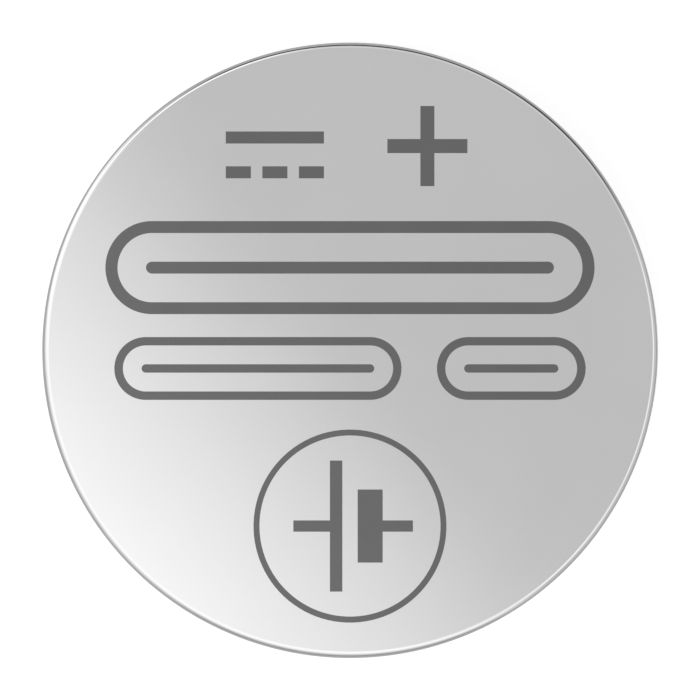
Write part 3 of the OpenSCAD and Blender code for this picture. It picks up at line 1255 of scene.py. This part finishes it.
@dataclass
class SealingGasket:
    """The moulded ring of J section, which fills the space between the can and the cap.

    Attributes:
        can: the can that is rolled in over it.
        cap: the cap that stands in it.
        inner_r: the radius inside its inner leg.
        corner_r: the radius of the corner that fills the can's inner bend.
        leg_z: the height where the inner leg ends.
        lip_w: how far the lip shows inside the can's cut edge.
        lip_round: how far the lip's edge is rounded.
        lip_corner: the angle from which an edge is a corner of the lip, in radians.
        finish: its finish.
    """

    can: PositiveCan
    cap: NegativeCap
    inner_r: float = 10.95
    corner_r: float = 0.05
    leg_z: float = 3.4
    lip_w: float = 0.4
    lip_round: float = 0.06
    lip_corner: float = 1.2
    finish: Finish = MouldedPlastic("gasket_plastic", (0.018, 0.018, 0.02), 0.42)

    def build(self) -> Object:
        """Builds the gasket from the can's and the cap's sizes.

        Returns:
            The gasket.
        """
        can, cap = self.can, self.cap
        bite = math.radians(can.roll_angle - QUARTER)
        bite_x = can.roll_x - can.roll_r * math.sin(bite)
        bite_z = can.roll_z - can.roll_r * math.cos(bite)
        corner = can.bore_r - self.corner_r
        skirt_x = cap.skirt_in - cap.bend_r
        section = Profile(self.inner_r, can.inside_z).line(corner, can.inside_z)
        section.arc(corner, can.inside_z - self.corner_r, -QUARTER, can.inner_step)
        section.line(can.bore_r, can.roll_z).arc(can.roll_x, can.roll_z, -can.roll_angle)
        section.line(bite_x - self.lip_w, bite_z).line(bite_x - self.lip_w, cap.shoulder_z)
        section.line(skirt_x, cap.shoulder_z).arc(skirt_x, can.roll_z, QUARTER)
        section.line(cap.skirt_r, cap.skirt_end_z).line(cap.skirt_in, cap.skirt_end_z)
        section.line(cap.skirt_in, self.leg_z).line(self.inner_r, self.leg_z).close()
        ring = section.turn(SEGMENTS)
        corners = [e for e in ring.edges if e.calc_face_angle(0.0) > self.lip_corner]
        lip = [e for e in corners
               if all(abs(v.co.z - bite_z) < MERGE and v.co.xy.length < bite_x - MERGE for v in e.verts)]
        round_off(ring, lip, self.lip_round)
        gasket = finish_mesh("gasket_ring", ring)
        gasket.data.materials.append(self.finish.build())
        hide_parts("sealing_gasket")
        return gasket


@dataclass
class Case:
    """The can, the cap and the gasket that seals them."""

    can: PositiveCan = field(default_factory=PositiveCan)
    cap: NegativeCap = field(default_factory=NegativeCap)

    def build(self) -> None:
        """Builds the three pieces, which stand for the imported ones."""
        self.can.build()
        self.cap.build()
        SealingGasket(self.can, self.cap).build()


@dataclass
class Stack:
    """What the case holds: the lithium, the separator, the pellet and its grid."""

    anode: Finish = SoftMetal("lithium", (0.6, 0.61, 0.63), 0.5)
    separator: Finish = Felt("separator_felt", (0.85, 0.85, 0.83), 0.9)
    pellet: Finish = PressedPowder("pressed_powder", (0.03, 0.03, 0.032), 0.8)
    grid: Finish = PlatedSteel("grid_steel", (0.45, 0.45, 0.45), 0.3)

    def build(self) -> None:
        """Dresses the four nodes."""
        dress("lithium_anode", self.anode)
        dress("separator", self.separator)
        dress("cathode_pellet", self.pellet)
        dress("cathode_collector", self.grid)


@dataclass(frozen=True)
class Patch:
    """A part of the light tent that is brighter or darker towards one side.

    Attributes:
        towards: the side, in degrees from +X towards +Y.
        full: up to how far from that side it is whole, in degrees.
        gone: how far from that side it ends, in degrees.
        low: the height above the horizon where it starts, in degrees.
        high: the height above the horizon where it ends, in degrees.
        soft: how softly it starts and ends in height, in degrees.
        level: the light in it, where the plain tent is 1.
    """

    towards: float
    full: float
    gone: float
    low: float
    high: float
    soft: float
    level: float


@dataclass
class Studio:
    """A white light tent that slopes brighter to the lower left, a pale floor, a soft lamp and the camera.

    Attributes:
        outline_radius: the disc's radius.
        floor_reach: how far the floor reaches from the middle.
        floor_colour: its colour where the cell mirrors it.
        floor_glow: the light that it adds for the camera.
        floor_share: how much of the light on it the camera sees.
        soft_level: the tent's level on dull surfaces.
        slope_towards: the side to which the tent gets brighter, in degrees from +X towards +Y.
        slope_start: how far a direction reaches to that side where the slope starts.
        slope_end: how far it reaches there where the slope ends.
        slope_rise: how much brighter the tent is at its end.
        patches: the tent's brighter and darker parts, each laid over those before it.
        lamp_towards: the side that the lamp stands on, in degrees.
        lamp_height: its height.
        lamp_out: how far out it stands.
        lamp_side: the length of its sides.
        lamp_power: its power in watts.
        lens: the camera's focal length.
        sensor: the width of its sensor.
        photo_side: the picture's width, in its pixels.
        photo_radius: the disc's radius in the picture.
        photo_drop: how far the disc lies below the picture's middle.
        outline_z: the height at which the disc's outline is seen.
        clip_end: how far the camera sees, in metres.
    """

    outline_radius: float
    floor_reach: float = 3000.0
    floor_colour: Colour = (0.8, 0.8, 0.8)
    floor_glow: float = 0.7
    floor_share: float = 0.5
    soft_level: float = 0.72

    slope_towards: float = 220.0
    slope_start: float = -0.002
    slope_end: float = 0.177
    slope_rise: float = 0.97
    patches: tuple[Patch, ...] = (
        Patch(towards=235, full=40, gone=100, low=-60, high=30, soft=40, level=0.8),
        Patch(towards=180, full=15, gone=40, low=-60, high=6, soft=3, level=0.6),
        Patch(towards=125, full=8, gone=24, low=14, high=28, soft=4, level=0.99),
        Patch(towards=138, full=22, gone=48, low=31, high=50, soft=4, level=2.2),
        Patch(towards=158, full=6, gone=16, low=14, high=36, soft=5, level=1.7),
        Patch(towards=300, full=14, gone=35, low=48, high=66, soft=4, level=1.8),
        Patch(towards=345, full=22, gone=50, low=36, high=57, soft=4, level=1.7),
        Patch(towards=65, full=40, gone=70, low=36, high=56, soft=4, level=1.2),
        Patch(towards=60, full=15, gone=45, low=-30, high=30, soft=3, level=0.1),
        Patch(towards=90, full=22, gone=38, low=-30, high=8, soft=3, level=0.8),
        Patch(towards=90, full=22, gone=38, low=8, high=29, soft=3, level=0.1),
        Patch(towards=268, full=14, gone=42, low=-60, high=24, soft=25, level=0.68),
        Patch(towards=268, full=14, gone=42, low=-60, high=5, soft=3, level=0.2),
    )

    lamp_towards: float = 220.0
    lamp_height: float = 300.0
    lamp_out: float = 220.0
    lamp_side: float = 300.0
    lamp_power: float = 0.4

    lens: float = 100.0
    sensor: float = 36.0
    photo_side: float = 700.0
    photo_radius: float = 307.7
    photo_drop: float = 0.3
    outline_z: float = 4.7
    clip_end: float = 100.0

    def build(self) -> None:
        """Makes the world, the floor, the lamp and the camera."""
        scene = bpy.context.scene
        scene.view_settings.view_transform = "Standard"
        scene.world = self.world()
        self.floor()
        self.lamp()
        scene.camera = self.camera()

    def world(self) -> World:
        """White to the camera, a sloping light tent in mirrors, and a plain soft level elsewhere."""
        world = bpy.data.worlds.new("studio")
        world.use_nodes = True
        graph = Graph(world.node_tree)
        rays = graph.node("LightPath").outputs
        tent = self.tent(graph)
        seen = graph.math("MAXIMUM", rays["Is Camera Ray"], rays["Is Transmission Ray"])
        softly = graph.scaled(seen, 1.0 - self.soft_level, self.soft_level)
        glossy = rays["Is Glossy Ray"]
        level = graph.scaled(tent, glossy, graph.times(softly, graph.rest(glossy)))
        background = world.node_tree.nodes["Background"]
        background.inputs["Color"].default_value = rgba(WHITE)
        graph.feed(background, "Strength", level)
        return world

    def reach(self, graph: Graph, direction: Value, towards: float) -> NodeSocket:
        """How far a direction reaches to one side.

        Args:
            graph: the world's nodes.
            direction: the direction, of length 1.
            towards: the side, in degrees from +X towards +Y.

        Returns:
            The cosine of the angle between them.
        """
        turn = math.radians(towards)
        inputs = {0: direction, 1: (math.cos(turn), math.sin(turn), 0.0)}
        return graph.node("VectorMath", inputs, operation="DOT_PRODUCT").outputs["Value"]

    def tent(self, graph: Graph) -> NodeSocket:
        """Draws the light tent as a mirror sees it.

        Args:
            graph: the world's nodes.

        Returns:
            The light's level in the direction that is looked in.
        """
        direction = graph.node("TexCoord").outputs["Generated"]
        x, y, z = graph.split(direction)
        lean = self.reach(graph, direction, self.slope_towards)
        slope = {"Value": lean, "From Min": self.slope_start, "From Max": self.slope_end,
                 "To Min": 1.0, "To Max": 1.0 + self.slope_rise}
        level = graph.node("MapRange", slope).outputs["Result"]
        flat = graph.node("VectorMath", {0: graph.join(x, y, 0.0)}, operation="NORMALIZE").outputs[0]
        height = graph.math("DEGREES", graph.math("ARCSINE", z))
        for patch in self.patches:
            ends = (math.cos(math.radians(angle)) for angle in (patch.gone, patch.full))
            near = graph.ramp(self.reach(graph, flat, patch.towards), *ends)
            above = graph.ramp(height, patch.low - patch.soft, patch.low + patch.soft)
            below = graph.ramp(height, patch.high - patch.soft, patch.high + patch.soft, start=1.0, end=0.0)
            share = graph.times(near, above, below)
            wanted = graph.math("MAXIMUM", level, patch.level) if patch.level > 1 else patch.level
            level = graph.scaled(share, graph.math("SUBTRACT", wanted, level), level)
        return level

    def floor(self) -> Object:
        """A pale floor: white to the camera, with the cell's shadow, and clear from below."""
        mesh = bmesh.new()
        bmesh.ops.create_grid(mesh, x_segments=1, y_segments=1, size=self.floor_reach * MM)
        data = bpy.data.meshes.new("floor")
        mesh.to_mesh(data)
        mesh.free()
        floor = link("floor", data)
        material = bpy.data.materials.new("floor_white")
        material.use_nodes = True
        graph = Graph(material.node_tree)
        graph.tree.nodes.remove(graph.tree.nodes["Principled BSDF"])
        shadowed = graph.node("BsdfDiffuse", {"Color": rgba(self.floor_colour)})
        dimmed = graph.node("BsdfDiffuse", {"Color": rgba((self.floor_share,) * 3)})
        glow = graph.node("Emission", {"Color": rgba(WHITE), "Strength": self.floor_glow})
        lifted = graph.node("AddShader", {0: dimmed.outputs[0], 1: glow.outputs[0]})
        camera = graph.node("LightPath").outputs["Is Camera Ray"]
        upper = graph.node("MixShader", {0: camera, 1: shadowed.outputs[0], 2: lifted.outputs[0]})
        clear = graph.node("BsdfTransparent")
        below = graph.node("NewGeometry").outputs["Backfacing"]
        both = graph.node("MixShader", {0: below, 1: upper.outputs[0], 2: clear.outputs[0]})
        graph.feed(graph.tree.nodes["Material Output"], "Surface", both.outputs[0])
        data.materials.append(material)
        return floor

    def lamp(self) -> Object:
        """A large soft lamp to the lower left, which gives the matt parts and the floor a side."""
        data = bpy.data.lights.new("soft_lamp", "AREA")
        data.shape = "SQUARE"
        data.size = self.lamp_side * MM
        data.energy = self.lamp_power
        lamp = link("soft_lamp", data)
        angle = math.radians(self.lamp_towards)
        out = self.lamp_out * MM
        lamp.location = (out * math.cos(angle), out * math.sin(angle), self.lamp_height * MM)
        lamp.rotation_euler = Vector(lamp.location).to_track_quat("Z", "Y").to_euler()
        lamp.visible_camera = False
        lamp.visible_glossy = False
        return lamp

    def camera(self) -> Object:
        """A camera straight above, as far away as gives the disc its size in the photograph."""
        data = bpy.data.cameras.new("camera")
        data.lens = self.lens
        data.sensor_width = self.sensor
        data.clip_start = MM
        data.clip_end = self.clip_end
        camera = link("camera", data)
        pixel = self.outline_radius / self.photo_radius
        distance = self.photo_side * pixel * self.lens / self.sensor
        camera.location = (0.0, self.photo_drop * pixel * MM, (self.outline_z + distance) * MM)
        return camera


def main() -> None:
    """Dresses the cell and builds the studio."""
    logging.basicConfig(level=logging.INFO, format="%(name)s: %(message)s")
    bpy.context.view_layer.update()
    case = Case()
    case.build()
    Stack().build()
    Studio(case.can.radius).build()


if __name__ == "__main__":
    main()
